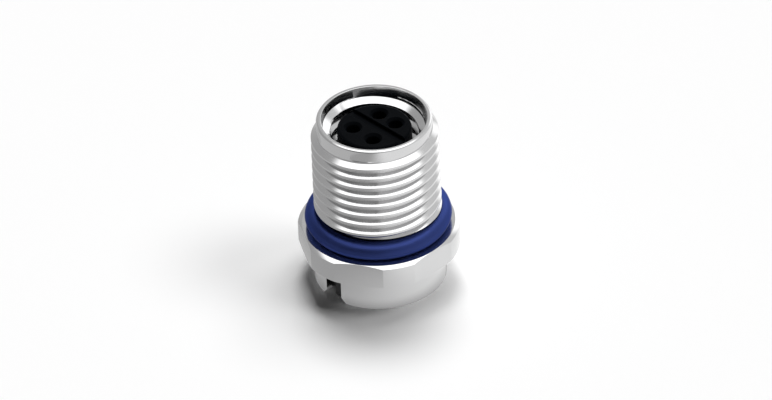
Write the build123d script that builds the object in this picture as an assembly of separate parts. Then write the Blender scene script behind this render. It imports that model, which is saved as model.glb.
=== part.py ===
from build123d import *
import math
import os

# Round panel socket for sensor plugs: a turned shell, a moulded insert and four spring contacts.
# Sizes are in millimetres. Heights run up from the rear end of the collar, where z is 0.
# The axis is Z, the plug comes in from above, and the key slot points along -Y.

# shell, outside
collar_diameter = 10.3
collar_length = 2.55
collar_edge = 0.05
flange_flats = 12.0
flange_corners = 12.64
flange_thickness = 2.22
flange_front_face = 11.96
flange_back_face = 11.7
flange_bevel_angle = 30.0
thread_diameter = 10.0
thread_length = 7.03
thread_lead_in = 0.34
pilot_diameter = 9.1
pilot_length = 0.96
rim_bevel = 0.22

# shell, inside
mouth_diameter = 8.34
mouth_depth = 0.69
cone_diameter = 8.04
cone_depth = 0.54
plug_thread_bore = 6.92
plug_chamber_depth = 7.3
relief_diameter = 8.1
relief_length = 0.8
web_thickness = 1.0
holder_step = 0.6
collar_bore_depth = 3.2

# key slot in the collar
slot_width = 1.6
slot_height = 2.2
slot_corner = 0.3
slot_mouth_bevel = 0.45

# ring under the panel
flange_seal_section = 1.5
flange_seal_bore = 8.5
flange_seal_sides = 12
undercut_play = 0.05
undercut_spare = 0.1

# insert
post_diameter = 5.85
face_below_rim = 0.78
face_edge_radius = 0.3
groove_width = 0.75
groove_depth = 0.33
groove_offset = 0.13
entry_diameter = 1.1
entry_bevel = 0.11
entry_lip = 1.1

# gasket between the insert and the web
gasket_width = 0.635
gasket_thickness = 0.6
gasket_play = 0.02

# contacts
wide_pair_spacing = 2.2
wide_pair_offset = -1.25
narrow_pair_spacing = 1.8
narrow_pair_offset = 1.4
barrel_diameter = 1.4
socket_bore = 1.02
socket_bore_depth = 4.6
split_width = 0.2
split_length = 3.6
shoulder_diameter = 1.6
shoulder_length = 0.6
tail_diameter = 0.7
tail_recess = 0.35

# rear holder
holder_plate = 1.3
holder_recess = 0.1
skirt_wall = 0.8
key_width = 0.5
key_reach = 0.5
bead_height = 0.12
bead_width = 0.4

# clearances, on the radius
moulded_play = 0.05
contact_play = 0.04

# heights that follow
flange_back = collar_length
flange_front = flange_back + flange_thickness
thread_start = flange_front + flange_seal_section + undercut_spare
thread_end = thread_start + thread_length
pilot_start = thread_end + thread_lead_in
rim = pilot_start + pilot_length
mouth_floor = rim - mouth_depth
cone_end = mouth_floor - cone_depth
web_front = rim - plug_chamber_depth
web_back = web_front - web_thickness
insert_face = rim - face_below_rim
holder_front = collar_bore_depth
holder_back = holder_front - holder_plate
contact_top = insert_face - entry_lip - contact_play
insert_shoulder = web_back - gasket_thickness

# radii that follow
undercut_radius = flange_seal_bore / 2 - undercut_play
post_radius = post_diameter / 2
web_bore_radius = post_radius + moulded_play
gasket_inner_radius = post_radius + gasket_play
gasket_outer_radius = gasket_inner_radius + gasket_width
rear_bore_radius = gasket_outer_radius + gasket_play
insert_body_radius = rear_bore_radius - moulded_play
collar_bore_radius = rear_bore_radius + holder_step
holder_radius = collar_bore_radius - moulded_play
barrel_radius = barrel_diameter / 2
cavity_radius = barrel_radius + contact_play

contact_places = [
    (-wide_pair_spacing / 2, wide_pair_offset),
    (wide_pair_spacing / 2, wide_pair_offset),
    (narrow_pair_spacing / 2, narrow_pair_offset),
    (-narrow_pair_spacing / 2, narrow_pair_offset),
]


def turned(outline):
    """Solid turned about the Z axis from (radius, height) points."""
    return revolve(Plane.XZ * make_face(Polyline(*outline, close=True)), Axis.Z)


def rod(radius, low, high, place=(0, 0)):
    """Round bar between two heights."""
    x, y = place
    bar = Cylinder(radius, high - low, align=(Align.CENTER, Align.CENTER, Align.MIN))
    return Pos(x, y, low) * bar


def bevel_rise(face_diameter):
    """Height of the flange's bevel at its turned corners."""
    run = (flange_corners - face_diameter) / 2
    return run * math.tan(math.radians(flange_bevel_angle))


def flange():
    """Hexagon with turned corners, bevelled at both faces, one corner over the key slot."""
    corner = flange_corners / 2
    blank = turned([
        (0, flange_back),
        (flange_back_face / 2, flange_back),
        (corner, flange_back + bevel_rise(flange_back_face)),
        (corner, flange_front - bevel_rise(flange_front_face)),
        (flange_front_face / 2, flange_front),
        (0, flange_front),
    ])
    hexagon = RegularPolygon(flange_flats / 2, 6, major_radius=False, rotation=30)
    return blank & Pos(0, 0, flange_back) * extrude(hexagon, flange_thickness)


def barrel():
    """Collar, undercut, thread at its outer diameter and pilot, without their bores."""
    collar = collar_diameter / 2
    thread = thread_diameter / 2
    pilot = pilot_diameter / 2
    return turned([
        (0, 0),
        (collar - collar_edge, 0),
        (collar, collar_edge),
        (collar, flange_back + flange_thickness / 2),
        (undercut_radius, flange_back + flange_thickness / 2),
        (undercut_radius, thread_start),
        (thread, thread_start),
        (thread, thread_end),
        (pilot, pilot_start),
        (pilot, rim - rim_bevel),
        (pilot - rim_bevel, rim),
        (0, rim),
    ])


def bores():
    """Everything drilled and turned out of the shell, from the rim to the rear end."""
    plug = plug_thread_bore / 2
    return turned([
        (0, rim),
        (mouth_diameter / 2, rim),
        (cone_diameter / 2, mouth_floor),
        (plug, cone_end),
        (plug, web_front + relief_length),
        (relief_diameter / 2, web_front + relief_length),
        (relief_diameter / 2, web_front),
        (web_bore_radius, web_front),
        (web_bore_radius, web_back),
        (rear_bore_radius, web_back),
        (rear_bore_radius, collar_bore_depth),
        (collar_bore_radius, collar_bore_depth),
        (collar_bore_radius, 0),
        (0, 0),
    ])


def snap_bead(growth):
    """Sharp-crested bead round the holder, or with some growth the groove for it."""
    middle = (holder_front + holder_back) / 2
    half = bead_width / 2 + growth
    return turned([
        (holder_radius - bead_height, middle - half),
        (holder_radius, middle - half),
        (holder_radius + bead_height + growth, middle),
        (holder_radius, middle + half),
        (holder_radius - bead_height, middle + half),
    ])


def key_slot():
    """Cutter for the slot: open at the rear end, flared there, with rounded upper corners."""
    half = slot_width / 2
    outline = Polyline(
        (-half - slot_mouth_bevel, 0),
        (-half, slot_mouth_bevel),
        (-half, slot_height),
        (half, slot_height),
        (half, slot_mouth_bevel),
        (half + slot_mouth_bevel, 0),
        close=True,
    )
    face = make_face(outline)
    face = fillet(face.vertices().sort_by(Axis.Y)[-2:], slot_corner)
    return extrude(Plane.XZ * face, collar_diameter)


def make_shell():
    return barrel() + flange() - bores() - snap_bead(moulded_play) - key_slot()


def make_flange_seal():
    """Rubber ring that rests on the flange. Small flats stand for its round section."""
    radius = flange_seal_section / 2
    half_turn = 180 / flange_seal_sides
    section = RegularPolygon(radius, flange_seal_sides, major_radius=False, rotation=half_turn)
    return Pos(0, 0, flange_front + radius) * revolve(
        Plane.XZ * Pos(flange_seal_bore / 2 + radius, 0) * section, Axis.Z
    )


def make_contact_carrier():
    """Insert: post with the mating face, and a wider body behind the shell's web."""
    post = fillet(
        rod(post_radius, insert_shoulder, insert_face).edges().sort_by(Axis.Z)[-1],
        face_edge_radius,
    )
    carrier = post + rod(insert_body_radius, holder_front, insert_shoulder)
    groove = Pos(0, groove_offset, insert_face - groove_depth) * Box(
        post_diameter, groove_width, groove_depth,
        align=(Align.CENTER, Align.CENTER, Align.MIN),
    )
    carrier -= groove
    for place in contact_places:
        carrier -= contact_room(place)
    return carrier


def contact_room(place):
    """Stepped hole for one contact, with a countersunk entry for the plug's pin."""
    x, y = place
    entry = entry_diameter / 2
    shoulder = shoulder_diameter / 2 + contact_play
    countersink = turned([
        (0, insert_face - entry_bevel),
        (entry, insert_face - entry_bevel),
        (entry + entry_bevel, insert_face),
        (0, insert_face),
    ])
    hole = rod(entry, insert_face - entry_lip, insert_face, place)
    cavity = rod(cavity_radius, holder_front, insert_face - entry_lip, place)
    seat = rod(shoulder, holder_front, holder_front + shoulder_length, place)
    return hole + cavity + seat + Pos(x, y, 0) * countersink


def make_carrier_seal():
    """Flat gasket in the corner between the insert's shoulder, its post and the web."""
    outer = rod(gasket_outer_radius, insert_shoulder, web_back)
    return outer - rod(gasket_inner_radius, insert_shoulder, web_back)


def make_rear_holder():
    """Plate that holds the contacts, with a skirt down to the rear end and a key in the slot."""
    plate = rod(holder_radius, holder_back, holder_front)
    skirt = rod(holder_radius, holder_recess, holder_back)
    pocket = rod(holder_radius - skirt_wall, holder_recess, holder_back)
    key_height = slot_height - moulded_play - holder_recess
    key = Pos(0, -holder_radius - key_reach, holder_recess) * Box(
        key_width, key_reach + skirt_wall / 2, key_height,
        align=(Align.CENTER, Align.MIN, Align.MIN),
    )
    holder = plate + (skirt - pocket) + snap_bead(0) + key
    for place in contact_places:
        holder -= rod(tail_diameter / 2 + contact_play, holder_back, holder_front, place)
    return holder


def make_contact(place):
    """Spring contact: split barrel, shoulder and round tail."""
    x, y = place
    shoulder_top = holder_front + shoulder_length
    body = turned([
        (0, tail_recess),
        (tail_diameter / 2, tail_recess),
        (tail_diameter / 2, holder_front),
        (shoulder_diameter / 2, holder_front),
        (shoulder_diameter / 2, shoulder_top),
        (barrel_radius, shoulder_top),
        (barrel_radius, contact_top),
        (socket_bore / 2, contact_top),
        (socket_bore / 2, contact_top - socket_bore_depth),
        (0, contact_top - socket_bore_depth),
    ])
    split = Pos(0, 0, contact_top - split_length) * Box(
        barrel_diameter, split_width, split_length,
        align=(Align.CENTER, Align.CENTER, Align.MIN),
    )
    return Pos(x, y, 0) * (body - split)


nodes = {
    "shell": make_shell(),
    "flange_seal": make_flange_seal(),
    "contact_carrier": make_contact_carrier(),
    "carrier_seal": make_carrier_seal(),
    "rear_holder": make_rear_holder(),
}
for number, place in enumerate(contact_places, start=1):
    nodes[f"contact_{number}"] = make_contact(place)

os.makedirs("parts", exist_ok=True)
for name, solid in nodes.items():
    export_step(solid, f"parts/{name}.step")
    box = solid.bounding_box()
    print(f"{name}: {solid.volume:.2f} mm3, z {box.min.Z:.2f} to {box.max.Z:.2f}")
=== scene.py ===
# Round panel socket for sensor plugs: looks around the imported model, seen as in the photograph.
# Sizes in the dictionaries are millimetres, and meshes are made in metres.
import bisect
import math
import bmesh
import bpy
from mathutils import Matrix, Vector


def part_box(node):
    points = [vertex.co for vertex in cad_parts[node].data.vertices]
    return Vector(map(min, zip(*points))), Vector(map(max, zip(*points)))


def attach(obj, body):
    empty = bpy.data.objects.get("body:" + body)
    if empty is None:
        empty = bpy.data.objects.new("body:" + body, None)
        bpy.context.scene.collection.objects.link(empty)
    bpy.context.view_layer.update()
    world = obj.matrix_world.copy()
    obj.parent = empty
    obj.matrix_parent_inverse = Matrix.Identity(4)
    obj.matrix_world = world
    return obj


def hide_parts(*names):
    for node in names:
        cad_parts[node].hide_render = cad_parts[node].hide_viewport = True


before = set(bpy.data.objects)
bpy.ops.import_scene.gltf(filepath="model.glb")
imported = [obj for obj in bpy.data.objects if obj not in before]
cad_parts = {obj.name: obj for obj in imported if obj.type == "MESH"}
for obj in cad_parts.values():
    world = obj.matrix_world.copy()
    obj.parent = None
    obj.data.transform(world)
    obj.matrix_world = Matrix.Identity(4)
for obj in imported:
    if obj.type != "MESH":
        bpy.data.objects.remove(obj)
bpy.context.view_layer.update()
mm = 0.001
fullTurn = 2 * math.pi
weldGap = 0.0002 * mm
beyond = 0.5  # how far a cutter reaches past what it cuts
noiseSpan = (0.3, 0.7)  # where most values of a noise texture lie
print("frame loaded:", len(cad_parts), "nodes")


# Outlines and meshes

# Corners are (x, y, radius). A rounded corner gives as many points at any angle between its sides.
def roundedLine(corners, closed=False, steps=4):
    line = []
    last = len(corners) - 1
    for i, (x, y, radius) in enumerate(corners):
        if radius == 0 or (not closed and i in (0, last)):
            line.append((x, y))
            continue
        here = Vector((x, y))
        toPrevious = (Vector(corners[i - 1][:2]) - here).normalized()
        toNext = (Vector(corners[(i + 1) % len(corners)][:2]) - here).normalized()
        half = toPrevious.angle(toNext) / 2
        centre = here + (toPrevious + toNext).normalized() * radius / math.sin(half)
        start = here + toPrevious * radius / math.tan(half) - centre
        stop = here + toNext * radius / math.tan(half) - centre
        startAngle = math.atan2(start.y, start.x)
        sweep = math.atan2(start.x * stop.y - start.y * stop.x, start.dot(stop))
        for k in range(steps):
            angle = startAngle + sweep * k / (steps - 1)
            line.append((centre.x + radius * math.cos(angle), centre.y + radius * math.sin(angle)))
    return line


def addObject(name, mesh):
    piece = bpy.data.objects.new(name, mesh)
    bpy.context.scene.collection.objects.link(piece)
    return piece


def cleanMesh(name, points, faces):
    shape = bmesh.new()
    verts = [shape.verts.new(point) for point in points]
    for face in faces:
        shape.faces.new([verts[i] for i in face])
    bmesh.ops.remove_doubles(shape, verts=shape.verts, dist=weldGap)
    bmesh.ops.dissolve_degenerate(shape, edges=shape.edges, dist=weldGap)
    bmesh.ops.recalc_face_normals(shape, faces=shape.faces)
    mesh = bpy.data.meshes.new(name)
    shape.to_mesh(mesh)
    shape.free()
    return mesh


# A turned piece. outlineAt gives the (radius, height) points at one angle, as many at every angle.
def turnedPiece(name, outlineAt, angles, ringShaped=True, centre=(0, 0)):
    points = []
    for angle in angles + [fullTurn]:
        for radius, height in outlineAt(angle):
            x = centre[0] + radius * math.cos(angle)
            y = centre[1] + radius * math.sin(angle)
            points.append((x * mm, y * mm, height * mm))
    rows = len(points) // (len(angles) + 1)
    faces = []
    for column in range(len(angles)):
        for row in range(rows if ringShaped else rows - 1):
            a = column * rows + row
            b = column * rows + (row + 1) % rows
            faces.append((a, b, b + rows, a + rows))
    return addObject(name, cleanMesh(name, points, faces))


# A straight bar with the given cross-section. place turns (across, up, along) into a point.
def prismPiece(name, outline, place, start, stop):
    count = len(outline)
    points = [Vector(place(u, v, w)) * mm for w in (start, stop) for u, v in outline]
    faces = [(i, (i + 1) % count, (i + 1) % count + count, i + count) for i in range(count)]
    faces += [tuple(range(count)), tuple(range(count, 2 * count))]
    return addObject(name, cleanMesh(name, points, faces))


def applyModifiers(piece):
    seen = piece.evaluated_get(bpy.context.evaluated_depsgraph_get())
    mesh = bpy.data.meshes.new_from_object(seen)
    mesh.name = piece.name
    piece.modifiers.clear()
    piece.data = mesh


def cutAway(piece, tools):
    for tool in tools:
        cut = piece.modifiers.new("cut", "BOOLEAN")
        cut.operation = "DIFFERENCE"
        cut.solver = "EXACT"
        cut.object = tool
    applyModifiers(piece)
    for tool in tools:
        bpy.data.objects.remove(tool)


def shadeEdges(piece, sharpAngle):
    piece.data.polygons.foreach_set("use_smooth", [True] * len(piece.data.polygons))
    piece.data.set_sharp_from_angle(angle=math.radians(sharpAngle))
    flatten = piece.modifiers.new("flatten", "WEIGHTED_NORMAL")
    flatten.keep_sharp = True
    applyModifiers(piece)


def evenAngles(count):
    return [fullTurn * i / count for i in range(count)]


# Shared surface effects

def newGroup(name, inputs, outputs):
    group = bpy.data.node_groups.new(name, "ShaderNodeTree")
    for label, kind, value in inputs:
        socket = group.interface.new_socket(name=label, in_out="INPUT", socket_type=kind)
        if value is not None:
            socket.default_value = value
    for label, kind in outputs:
        group.interface.new_socket(name=label, in_out="OUTPUT", socket_type=kind)
    return group, group.nodes.new("NodeGroupInput"), group.nodes.new("NodeGroupOutput")


def addNode(tree, kind, settings=None, values=None):
    node = tree.nodes.new(kind)
    for key, value in (settings or {}).items():
        setattr(node, key, value)
    for key, value in (values or {}).items():
        node.inputs[key].default_value = value
    return node


def addMath(tree, operation, first, second=None):
    node = addNode(tree, "ShaderNodeMath", {"operation": operation})
    for socket, value in zip(node.inputs, (first, second)):
        if value is None:
            continue
        if isinstance(value, (int, float)):
            socket.default_value = value
        else:
            tree.links.new(value, socket)
    return node.outputs[0]


# A value that moves from one level to another as it crosses a span.
def addRamp(tree, value, span, levels, shape="SMOOTHSTEP"):
    ramp = addNode(tree, "ShaderNodeMapRange", {"interpolation_type": shape}, {
        "From Min": span[0], "From Max": span[1], "To Min": levels[0], "To Max": levels[1]})
    tree.links.new(value, ramp.inputs["Value"])
    return ramp.outputs["Result"]


# Fine marks that run round the axis, as a lathe tool leaves them, and slow cloudiness between them.
def makeTurnedMarks():
    group, given, result = newGroup(
        "turnedMarks",
        [("Position", "NodeSocketVector", None), ("Marks per mm", "NodeSocketFloat", 20.0),
         ("Cloud per mm", "NodeSocketFloat", 0.4)],
        [("Marks", "NodeSocketFloat"), ("Cloud", "NodeSocketFloat")],
    )
    link = group.links.new
    split = addNode(group, "ShaderNodeSeparateXYZ")
    link(given.outputs["Position"], split.inputs[0])
    across = addMath(group, "MULTIPLY", split.outputs["X"], split.outputs["X"])
    along = addMath(group, "MULTIPLY", split.outputs["Y"], split.outputs["Y"])
    radius = addMath(group, "SQRT", addMath(group, "ADD", across, along))
    perMetre = addMath(group, "DIVIDE", given.outputs["Marks per mm"], mm)
    flat = addNode(group, "ShaderNodeCombineXYZ")
    link(addMath(group, "MULTIPLY", radius, perMetre), flat.inputs["X"])
    link(addMath(group, "MULTIPLY", split.outputs["Z"], perMetre), flat.inputs["Y"])
    marks = addNode(group, "ShaderNodeTexNoise", None, {
        "Scale": 1.0, "Detail": 3.0, "Roughness": 0.6})
    link(flat.outputs[0], marks.inputs["Vector"])
    link(marks.outputs["Fac"], result.inputs["Marks"])
    cloud = addNode(group, "ShaderNodeTexNoise", None, {"Detail": 2.0})
    link(given.outputs["Position"], cloud.inputs["Vector"])
    link(addMath(group, "DIVIDE", given.outputs["Cloud per mm"], mm), cloud.inputs["Scale"])
    link(cloud.outputs["Fac"], result.inputs["Cloud"])
    return group


# The fine dull skin of a moulding: small bumps and patches where it polished a little.
def makeMouldedSkin():
    group, given, result = newGroup(
        "mouldedSkin",
        [("Position", "NodeSocketVector", None), ("Bumps per mm", "NodeSocketFloat", 18.0),
         ("Patches per mm", "NodeSocketFloat", 0.6)],
        [("Bumps", "NodeSocketFloat"), ("Patches", "NodeSocketFloat")],
    )
    link = group.links.new
    for output, detail in (("Bumps", 2.0), ("Patches", 3.0)):
        noise = addNode(group, "ShaderNodeTexNoise", None, {"Detail": detail})
        link(given.outputs["Position"], noise.inputs["Vector"])
        perMetre = addMath(group, "DIVIDE", given.outputs[output + " per mm"], mm)
        link(perMetre, noise.inputs["Scale"])
        link(noise.outputs["Fac"], result.inputs[output])
    return group


turnedMarks = makeTurnedMarks()
mouldedSkin = makeMouldedSkin()
print("surface effects made")


# Finishes

# The effect's slow output mixes the two colours, and its fine one sets roughness and bumps.
def makeFinish(name, effect, sizes, values, shader):
    finish = bpy.data.materials.new(name)
    finish.use_nodes = True
    tree = finish.node_tree
    link = tree.links.new
    principled = tree.nodes["Principled BSDF"]
    for key, value in shader.items():
        principled.inputs[key].default_value = value
    place = addNode(tree, "ShaderNodeTexCoord")
    marks = addNode(tree, "ShaderNodeGroup", {"node_tree": effect}, sizes)
    link(place.outputs["Object"], marks.inputs["Position"])
    fine, slow = marks.outputs[0], marks.outputs[1]
    colour = addNode(tree, "ShaderNodeMix", {"data_type": "RGBA"})
    colour.inputs["A"].default_value = (*values["darkColour"], 1)
    colour.inputs["B"].default_value = (*values["lightColour"], 1)
    link(slow, colour.inputs["Factor"])
    link(colour.outputs["Result"], principled.inputs["Base Color"])
    rough = addRamp(tree, fine, noiseSpan, (values["smoothest"], values["roughest"]), "LINEAR")
    link(rough, principled.inputs["Roughness"])
    bump = addNode(tree, "ShaderNodeBump", None, {
        "Strength": values["bumpStrength"], "Distance": values["bumpDepth"] * mm})
    link(fine, bump.inputs["Height"])
    link(bump.outputs["Normal"], principled.inputs["Normal"])
    return finish


nickelPlate = makeFinish(
    "nickelPlate", turnedMarks, {"Marks per mm": 14.0, "Cloud per mm": 0.3},
    {"darkColour": (0.53, 0.53, 0.535), "lightColour": (0.57, 0.57, 0.57),
     "smoothest": 0.10, "roughest": 0.16, "bumpStrength": 0.1, "bumpDepth": 0.002},
    {"Metallic": 1.0},
)
goldPlate = makeFinish(
    "goldPlate", turnedMarks, {"Marks per mm": 20.0, "Cloud per mm": 0.6},
    {"darkColour": (0.70, 0.47, 0.16), "lightColour": (0.80, 0.57, 0.22),
     "smoothest": 0.22, "roughest": 0.34, "bumpStrength": 0.25, "bumpDepth": 0.003},
    {"Metallic": 1.0},
)
blueRubber = makeFinish(
    "blueRubber", mouldedSkin, {"Bumps per mm": 14.0, "Patches per mm": 0.5},
    {"darkColour": (0.030, 0.046, 0.175), "lightColour": (0.034, 0.054, 0.200),
     "smoothest": 0.28, "roughest": 0.36, "bumpStrength": 0.12, "bumpDepth": 0.006},
    {"Metallic": 0.45, "IOR": 1.1, "Specular Tint": (0.25, 0.35, 0.7, 1)},  # a blue sheen as well
)
blackInsert = makeFinish(
    "blackInsert", mouldedSkin, {"Bumps per mm": 16.0, "Patches per mm": 0.7},
    {"darkColour": (0.0016, 0.0020, 0.0026), "lightColour": (0.0030, 0.0036, 0.0046),
     "smoothest": 0.34, "roughest": 0.44, "bumpStrength": 0.2, "bumpDepth": 0.005},
    {"IOR": 1.1, "Specular IOR Level": 0.15},
)
blackHolder = makeFinish(
    "blackHolder", mouldedSkin, {"Bumps per mm": 12.0, "Patches per mm": 0.5},
    {"darkColour": (0.007, 0.007, 0.008), "lightColour": (0.011, 0.011, 0.012),
     "smoothest": 0.46, "roughest": 0.60, "bumpStrength": 0.25, "bumpDepth": 0.006},
    {"Specular IOR Level": 0.4},
)
darkRubber = makeFinish(
    "darkRubber", mouldedSkin, {"Bumps per mm": 10.0, "Patches per mm": 0.8},
    {"darkColour": (0.014, 0.014, 0.014), "lightColour": (0.022, 0.022, 0.022),
     "smoothest": 0.55, "roughest": 0.70, "bumpStrength": 0.2, "bumpDepth": 0.006},
    {"Specular IOR Level": 0.35},
)


def dress(piece, finish):
    piece.data.materials.clear()
    piece.data.materials.append(finish)


def stand(piece, node, finish):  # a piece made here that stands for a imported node
    dress(piece, finish)
    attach(piece, "root")
    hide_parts(node)


# Threads

# One pitch of a thread as (share of the pitch, radius), from a crest's middle to the next one's.
def threadForm(thread):
    crest, root, pitch = thread["crestRadius"], thread["rootRadius"], thread["pitch"]
    flank = abs(crest - root) * thread["flankSlope"]
    crestEnd = thread["crestFlat"] / 2
    corners = [
        (0, crest, 0),
        (crestEnd, crest, thread["crestRound"]),
        (crestEnd + flank, root, thread["rootRound"]),
        (pitch - crestEnd - flank, root, thread["rootRound"]),
        (pitch - crestEnd, crest, thread["crestRound"]),
        (pitch, crest, 0),
    ]
    return [(height / pitch, radius) for height, radius in roundedLine(corners)]


# Radius of a right-hand thread at a height and an angle.
def threadRadius(form, thread, angle, height):
    share = ((height - thread["crestHeight"]) / thread["pitch"] - angle / fullTurn) % 1
    after = bisect.bisect_left(form, (share,))
    after = min(max(after, 1), len(form) - 1)
    (lowShare, lowRadius), (highShare, highRadius) = form[after - 1], form[after]
    mix = (share - lowShare) / max(highShare - lowShare, 1e-9)
    return lowRadius + (highRadius - lowRadius) * mix


# Heights of a thread's rows at an angle. They climb one pitch in a turn, and rows past an end
# come to rest on it.
def threadHeights(form, thread, angle, low, high):
    turns = math.ceil((high - low) / thread["pitch"]) + 1
    first = math.floor((low - thread["crestHeight"]) / thread["pitch"]) - 1
    heights = []
    for turn in range(first, first + turns + 2):
        for share, _ in form[:-1]:
            height = thread["crestHeight"] + thread["pitch"] * (turn + share + angle / fullTurn)
            heights.append(min(max(height, low), high))
    return heights


# Shell: collar, hexagon, mounting thread, rim and bores in one skin

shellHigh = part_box("shell")[1]
ringLow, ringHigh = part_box("flange_seal")
insertLow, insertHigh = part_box("contact_carrier")

shell = {
    "columns": 240,
    "rim": shellHigh.z / mm,
    "collarRadius": 5.15, "collarTop": 2.55, "collarEdge": 0.05,
    "flatRadius": shellHigh.x / mm, "cornerRadius": shellHigh.y / mm, "flangeTop": ringLow.z / mm,
    "frontFaceRadius": 5.98, "backFaceRadius": 5.85, "bevelAngle": 30.0,
    "flangeEdge": 0.03, "flangeBackEdge": 0.14,
    "undercutRadius": 4.2, "threadStart": 6.37, "threadEnd": 13.4,
    "pilotRadius": 4.55, "pilotStart": 13.74, "rimRound": 0.22, "mouthEdge": 0.04,
    "mouthRadius": 4.17, "mouthFloor": 14.01, "coneRadius": 4.02, "coneEnd": 13.69,
    "plugThreadEnd": 8.2, "reliefRadius": 4.05, "webFront": 7.4, "webBore": 2.975, "webBack": 6.4,
    "rearBore": 3.6, "rearBoreEnd": 3.2, "collarBore": 4.2, "collarBoreEdge": 0.08,
    "rimSteps": 5, "sharpAngle": 16.0,
}
mountingThread = {
    "crestRadius": 5.0, "rootRadius": 4.54, "pitch": 0.888, "crestHeight": 13.304,
    "crestFlat": 0.2, "flankSlope": 0.577, "crestRound": 0.05, "rootRound": 0.06,
}
plugThread = {
    "crestRadius": 3.46, "rootRadius": 4.0, "pitch": 1.16, "crestHeight": 12.98,
    "crestFlat": 0.25, "flankSlope": 0.577, "crestRound": 0.05, "rootRound": 0.08,
}
keySlot = {
    "width": 1.6, "height": 2.2, "corner": 0.3, "cornerSteps": 8, "mouthBevel": 0.45,
    "inside": -3.0, "outside": -7.0,
}
outerForm = threadForm(mountingThread)
innerForm = threadForm(plugThread)


def flangeReach(angle):  # hexagon with a flat on X, its corners turned off round
    fromFlat = (angle + fullTurn / 12) % (fullTurn / 6) - fullTurn / 12
    return min(shell["flatRadius"] / math.cos(fromFlat), shell["cornerRadius"])


def outerThreadRadius(angle, height):
    s, t = shell, mountingThread
    taper = (t["crestRadius"] - s["pilotRadius"]) / (s["pilotStart"] - s["threadEnd"])
    leadIn = t["crestRadius"] - (height - s["threadEnd"]) * taper
    return max(min(threadRadius(outerForm, t, angle, height), leadIn), s["pilotRadius"])


def innerThreadRadius(angle, height):
    s, t = shell, plugThread
    taper = (s["coneRadius"] - t["crestRadius"]) / (s["mouthFloor"] - s["coneEnd"])
    cone = t["crestRadius"] + (height - s["coneEnd"]) * taper
    return max(threadRadius(innerForm, t, angle, height), cone)


def shellOutline(angle):
    s = shell
    reach = flangeReach(angle)
    slope = math.tan(math.radians(s["bevelAngle"]))
    frontRise = (reach - s["frontFaceRadius"]) * slope
    backRise = (reach - s["backFaceRadius"]) * slope
    line = roundedLine([
        (s["collarBore"], s["collarBoreEdge"], 0),
        (s["collarBore"] + s["collarBoreEdge"], 0, 0),
        (s["collarRadius"], 0, s["collarEdge"]),
        (s["collarRadius"], s["collarTop"], 0),
        (s["backFaceRadius"], s["collarTop"], s["flangeEdge"]),
        (reach, s["collarTop"] + backRise, s["flangeBackEdge"]),
        (reach, s["flangeTop"] - frontRise, s["flangeEdge"]),
        (s["frontFaceRadius"], s["flangeTop"], s["flangeEdge"]),
        (s["undercutRadius"], s["flangeTop"], 0),
        (s["undercutRadius"], s["threadStart"], 0),
    ])
    rising = threadHeights(outerForm, mountingThread, angle, s["threadStart"], s["pilotStart"])
    line += [(outerThreadRadius(angle, height), height) for height in rising]
    line += roundedLine([
        (s["pilotRadius"], s["pilotStart"], 0),
        (s["pilotRadius"], s["rim"], s["rimRound"]),
        (s["mouthRadius"], s["rim"], s["mouthEdge"]),
        (s["coneRadius"], s["mouthFloor"], 0),
    ], steps=s["rimSteps"])
    rising = threadHeights(innerForm, plugThread, angle, s["plugThreadEnd"], s["mouthFloor"])
    line += [(innerThreadRadius(angle, height), height) for height in reversed(rising)]
    return line + [
        (s["reliefRadius"], s["plugThreadEnd"]),
        (s["reliefRadius"], s["webFront"]),
        (s["webBore"], s["webFront"]),
        (s["webBore"], s["webBack"]),
        (s["rearBore"], s["webBack"]),
        (s["rearBore"], s["rearBoreEnd"]),
        (s["collarBore"], s["rearBoreEnd"]),
    ]


def shellAngles():  # even steps, and the angles where a flat of the hexagon meets a turned corner
    edge = math.acos(shell["flatRadius"] / shell["cornerRadius"])
    middles = [fullTurn * side / 6 for side in range(6)]
    edges = [(middle + sign * edge) % fullTurn for middle in middles for sign in (-1, 1)]
    return sorted(set(evenAngles(shell["columns"]) + edges))


def makeKeySlot():
    k = keySlot
    half = k["width"] / 2
    outline = roundedLine([
        (-half - k["mouthBevel"] - beyond, -beyond, 0),
        (half + k["mouthBevel"] + beyond, -beyond, 0),
        (half, k["mouthBevel"], 0),
        (half, k["height"], k["corner"]),
        (-half, k["height"], k["corner"]),
        (-half, k["mouthBevel"], 0),
    ], closed=True, steps=k["cornerSteps"])
    return prismPiece("keySlot", outline, lambda u, v, w: (u, w, v), k["inside"], k["outside"])


shellBody = turnedPiece("shellBody", shellOutline, shellAngles())
print("shell turned:", len(shellBody.data.polygons), "faces")
cutAway(shellBody, [makeKeySlot()])
shadeEdges(shellBody, shell["sharpAngle"])
stand(shellBody, "shell", nickelPlate)
print("shell slotted:", len(shellBody.data.polygons), "faces")


# Ring on the flange

ring = {
    "columns": 192, "sectionPoints": 48, "sharpAngle": 60.0,
    "partingLine": 0.02, "partingWidth": 7.0,  # moulding seam: its height, and degrees of width
}


def ringOutline(angle):
    section = (ringHigh.z - ringLow.z) / 2 / mm
    middle = ringHigh.x / mm - section
    height = (ringHigh.z + ringLow.z) / 2 / mm
    line = []
    for step in range(ring["sectionPoints"]):
        turn = fullTurn * step / ring["sectionPoints"]
        seam = math.exp(-((math.degrees(math.sin(turn)) / ring["partingWidth"]) ** 2))
        reach = section - ring["partingLine"] * (1 - seam)
        line.append((middle + reach * math.cos(turn), height + reach * math.sin(turn)))
    return line


panelRing = turnedPiece("panelRing", ringOutline, evenAngles(ring["columns"]))
shadeEdges(panelRing, ring["sharpAngle"])
stand(panelRing, "flange_seal", blueRubber)
print("ring made")


# Insert with its four pin entries and the groove

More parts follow.
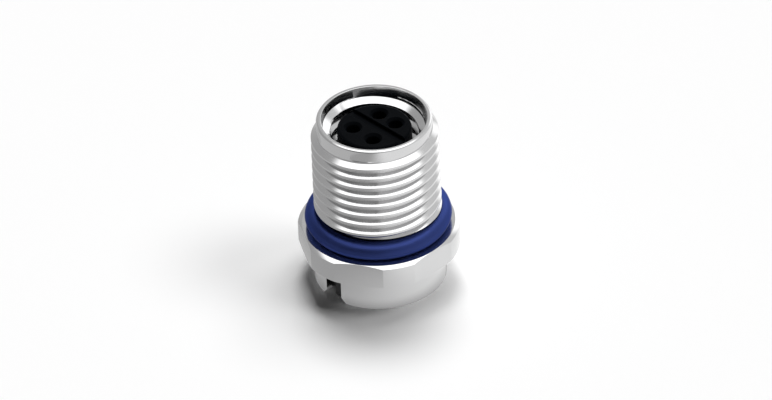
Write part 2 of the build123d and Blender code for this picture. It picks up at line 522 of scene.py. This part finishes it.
insert = {
    "columns": 144,
    "face": insertHigh.z / mm, "back": insertLow.z / mm, "shoulder": 5.8,
    "postRadius": 2.925, "bodyRadius": insertHigh.x / mm, "faceRound": 0.3, "faceSteps": 10,
    "groove": (-0.245, 0.505), "grooveDepth": 0.33, "grooveReach": 4.0,
    "grooveRound": 0.08, "grooveSteps": 5, "grooveLip": 0.04,
    "entryColumns": 48, "entryRadius": 0.55, "entryDepth": 1.1,
    "entryBevel": 0.2, "entryRound": 0.05,
    "cavityRadius": 0.74, "seatRadius": 0.84, "seatHeight": 3.8,
    "entries": [(-1.1, -1.25), (1.1, -1.25), (0.9, 1.4), (-0.9, 1.4)],
    "sharpAngle": 32.0,
}


def insertOutline(angle):
    s = insert
    return roundedLine([
        (0, s["back"], 0),
        (s["bodyRadius"], s["back"], 0),
        (s["bodyRadius"], s["shoulder"], 0),
        (s["postRadius"], s["shoulder"], 0),
        (s["postRadius"], s["face"], s["faceRound"]),
        (0, s["face"], 0),
    ], steps=s["faceSteps"])


def entryOutline(angle):
    s = insert
    return roundedLine([
        (0, s["back"] - beyond, 0),
        (s["seatRadius"], s["back"] - beyond, 0),
        (s["seatRadius"], s["seatHeight"], 0),
        (s["cavityRadius"], s["seatHeight"], 0),
        (s["cavityRadius"], s["face"] - s["entryDepth"], 0),
        (s["entryRadius"], s["face"] - s["entryDepth"], 0),
        (s["entryRadius"], s["face"] - s["entryBevel"], s["entryRound"]),
        (s["entryRadius"] + s["entryBevel"] + beyond, s["face"] + beyond, 0),
        (0, s["face"] + beyond, 0),
    ])


def makeGroove():
    s = insert
    low, high = s["groove"]
    floor = s["face"] - s["grooveDepth"]
    lip = s["grooveLip"]
    outline = roundedLine([
        (low, floor, s["grooveRound"]),
        (high, floor, s["grooveRound"]),
        (high, s["face"] - lip, 0),
        (high + lip + beyond, s["face"] + beyond, 0),
        (low - lip - beyond, s["face"] + beyond, 0),
        (low, s["face"] - lip, 0),
    ], closed=True, steps=s["grooveSteps"])
    reach = s["grooveReach"]
    return prismPiece("groove", outline, lambda u, v, w: (w, u, v), -reach, reach)


insertAngles, entryAngles = evenAngles(insert["columns"]), evenAngles(insert["entryColumns"])
insertBody = turnedPiece("insertBody", insertOutline, insertAngles, ringShaped=False)
entryTools = [turnedPiece("entry", entryOutline, entryAngles, ringShaped=False, centre=place)
              for place in insert["entries"]]
cutAway(insertBody, entryTools + [makeGroove()])
shadeEdges(insertBody, insert["sharpAngle"])
stand(insertBody, "contact_carrier", blackInsert)
print("insert made:", len(insertBody.data.polygons), "faces")


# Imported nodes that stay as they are

dress(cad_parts["rear_holder"], blackHolder)
dress(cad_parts["carrier_seal"], darkRubber)
for name in ("contact_1", "contact_2", "contact_3", "contact_4"):
    dress(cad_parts[name], goldPlate)


# Floor, light and camera

studio = {
    "floorSize": 900.0, "floorColour": (0.96, 0.96, 0.96),
    # the floor as metal shows it, a painted reflection with painted shade: levels at the left and
    # the right, and the span between them
    "paintedFloorReflection": (0.57, 1.25), "floorSpan": (-8.0, 10.0),
    "paintedFarReflection": (0.74, 0.0), "farSpan": (-22.0, -13.0),  # lighter again far out at the left
    # painted shadow: the floor that metal shows darkens round the foot
    "paintedFootShadow": (0.3, 1.0), "footSpan": (4.2, 6.2),  # darker round the foot
    # the sky as metal shows it, a painted reflection, from left to right, and the sideways share
    # where that happens
    "paintedSkyReflection": (0.52, 0.95), "lowSpan": (-0.8, 0.8),
    # soft patches of sky: azimuth from the camera, elevation, inner and outer half angle, strength
    "litPatches": [(180, 63, 7, 13, 18.0), (137, 61, 11, 15, 5.8), (81, 53, 4, 15, 8.2)],
    # painted reflections that only rays off metal or through glass see; the last patch, of negative
    # strength, is painted shade at the front left
    "paintedReflectionPatches": [(0, 90, 35, 45, 1.6), (152, 22, 10, 22, 1.2), (-20, 5, 20, 48, -0.4)],
}
view = {
    "width": 772, "height": 400, "pixelsPerMm": 12.84,
    "originX": 380.9, "originY": 269.95,  # pixel under the middle of the collar's rear end
    "azimuth": 47.0, "elevation": 36.2, "roll": 2.6, "distance": 300.0,
    "nearest": 1.0, "farthest": 2000.0,
}


def towards(azimuth, elevation):
    a, e = math.radians(azimuth), math.radians(elevation)
    return Vector((math.sin(a) * math.cos(e), -math.cos(a) * math.cos(e), math.sin(e)))


def measure(tree, operation, vector, direction=(0, 0, 0)):
    node = addNode(tree, "ShaderNodeVectorMath", {"operation": operation})
    tree.links.new(vector, node.inputs[0])
    node.inputs[1].default_value = direction
    return node.outputs["Value"]


def mirrorRays(tree, path):  # rays that come off metal, or through glass
    glossy, through = path.outputs["Is Glossy Ray"], path.outputs["Is Transmission Ray"]
    return addMath(tree, "MAXIMUM", glossy, through)


def metres(span):
    return [value * mm for value in span]


def makeFloor():
    half = studio["floorSize"] / 2
    outline = [(-half, -half), (half, -half), (half, half), (-half, half)]
    mesh = bpy.data.meshes.new("floor")
    mesh.from_pydata([(x * mm, y * mm, 0) for x, y in outline], [], [(0, 1, 2, 3)])
    floor = addObject("floor", mesh)
    paper = bpy.data.materials.new("studioPaper")
    paper.use_nodes = True
    tree = paper.node_tree
    link = tree.links.new
    tree.nodes.clear()
    matte = addNode(tree, "ShaderNodeBsdfDiffuse", None, {"Color": (*studio["floorColour"], 1)})
    place = addNode(tree, "ShaderNodeTexCoord").outputs["Object"]
    side = measure(tree, "DOT_PRODUCT", place, towards(view["azimuth"] + 90, 0))
    fromAxis = measure(tree, "LENGTH", place)
    # painted reflection with painted shade: rays off metal see a glow, darker at the left, lighter
    # again far out and darker round the foot
    tone = addRamp(tree, side, metres(studio["floorSpan"]), studio["paintedFloorReflection"])
    far = addRamp(tree, side, metres(studio["farSpan"]), studio["paintedFarReflection"])
    foot = addRamp(tree, fromAxis, metres(studio["footSpan"]), studio["paintedFootShadow"])
    mirrored = addNode(tree, "ShaderNodeEmission")
    level = addMath(tree, "MULTIPLY", addMath(tree, "MAXIMUM", tone, far), foot)
    link(level, mirrored.inputs["Strength"])
    which = addNode(tree, "ShaderNodeMixShader")
    link(mirrorRays(tree, addNode(tree, "ShaderNodeLightPath")), which.inputs[0])
    link(matte.outputs[0], which.inputs[1])
    link(mirrored.outputs[0], which.inputs[2])
    link(which.outputs[0], addNode(tree, "ShaderNodeOutputMaterial").inputs["Surface"])
    dress(floor, paper)


def addPatches(tree, direction, level, patches):
    for azimuth, elevation, inner, outer, strength in patches:
        middle = towards(view["azimuth"] + azimuth, elevation)
        facing = measure(tree, "DOT_PRODUCT", direction, middle)
        span = (math.cos(math.radians(outer)), math.cos(math.radians(inner)))
        level = addMath(tree, "ADD", addRamp(tree, facing, span, (0.0, strength)), level)
    return level


def chooseLevel(tree, factor, first, second):
    which = addNode(tree, "ShaderNodeMix", {"data_type": "FLOAT"})
    tree.links.new(factor, which.inputs["Factor"])
    for socket, value in ((which.inputs["A"], first), (which.inputs["B"], second)):
        if isinstance(value, float):
            socket.default_value = value
        else:
            tree.links.new(value, socket)
    return which.outputs["Result"]


# The sky lights the scene from one set of patches, and metal shows another, painted
# reflections. To the camera it is white.
def makeSky():
    world = bpy.data.worlds.new("studioSky")
    bpy.context.scene.world = world
    world.use_nodes = True
    tree = world.node_tree
    tree.nodes.clear()
    direction = addNode(tree, "ShaderNodeTexCoord").outputs["Generated"]
    path = addNode(tree, "ShaderNodeLightPath")
    lit = addPatches(tree, direction, 0.0, studio["litPatches"])
    side = measure(tree, "DOT_PRODUCT", direction, towards(view["azimuth"] + 90, 0))
    low = addRamp(tree, side, studio["lowSpan"], studio["paintedSkyReflection"], "LINEAR")
    mirrored = addPatches(tree, direction, low, studio["paintedReflectionPatches"])
    level = chooseLevel(tree, mirrorRays(tree, path), lit, mirrored)
    level = chooseLevel(tree, path.outputs["Is Camera Ray"], level, 1.0)
    sky = addNode(tree, "ShaderNodeBackground", None, {"Color": (1, 1, 1, 1)})
    tree.links.new(level, sky.inputs["Strength"])
    tree.links.new(sky.outputs[0], addNode(tree, "ShaderNodeOutputWorld").inputs["Surface"])


def makeCamera():
    v = view
    back = towards(v["azimuth"], v["elevation"])
    across = Vector((math.cos(math.radians(v["azimuth"])), math.sin(math.radians(v["azimuth"])), 0))
    above = back.cross(across)
    roll = math.radians(v["roll"])
    right = across * math.cos(roll) - above * math.sin(roll)
    up = above * math.cos(roll) + across * math.sin(roll)
    aim = right * (v["width"] / 2 - v["originX"]) + up * (v["originY"] - v["height"] / 2)
    lens = bpy.data.cameras.new("photoCamera")
    lens.type = "ORTHO"
    lens.ortho_scale = v["width"] / v["pixelsPerMm"] * mm
    lens.clip_start, lens.clip_end = v["nearest"] * mm, v["farthest"] * mm
    camera = bpy.data.objects.new("photoCamera", lens)
    bpy.context.scene.collection.objects.link(camera)
    turned = Matrix((right, up, back)).transposed().to_4x4()
    place = aim / v["pixelsPerMm"] + back * v["distance"]
    camera.matrix_world = Matrix.Translation(place * mm) @ turned
    bpy.context.scene.camera = camera


makeFloor()
makeSky()
makeCamera()
bpy.context.scene.view_settings.view_transform = "Standard"
print("studio ready")
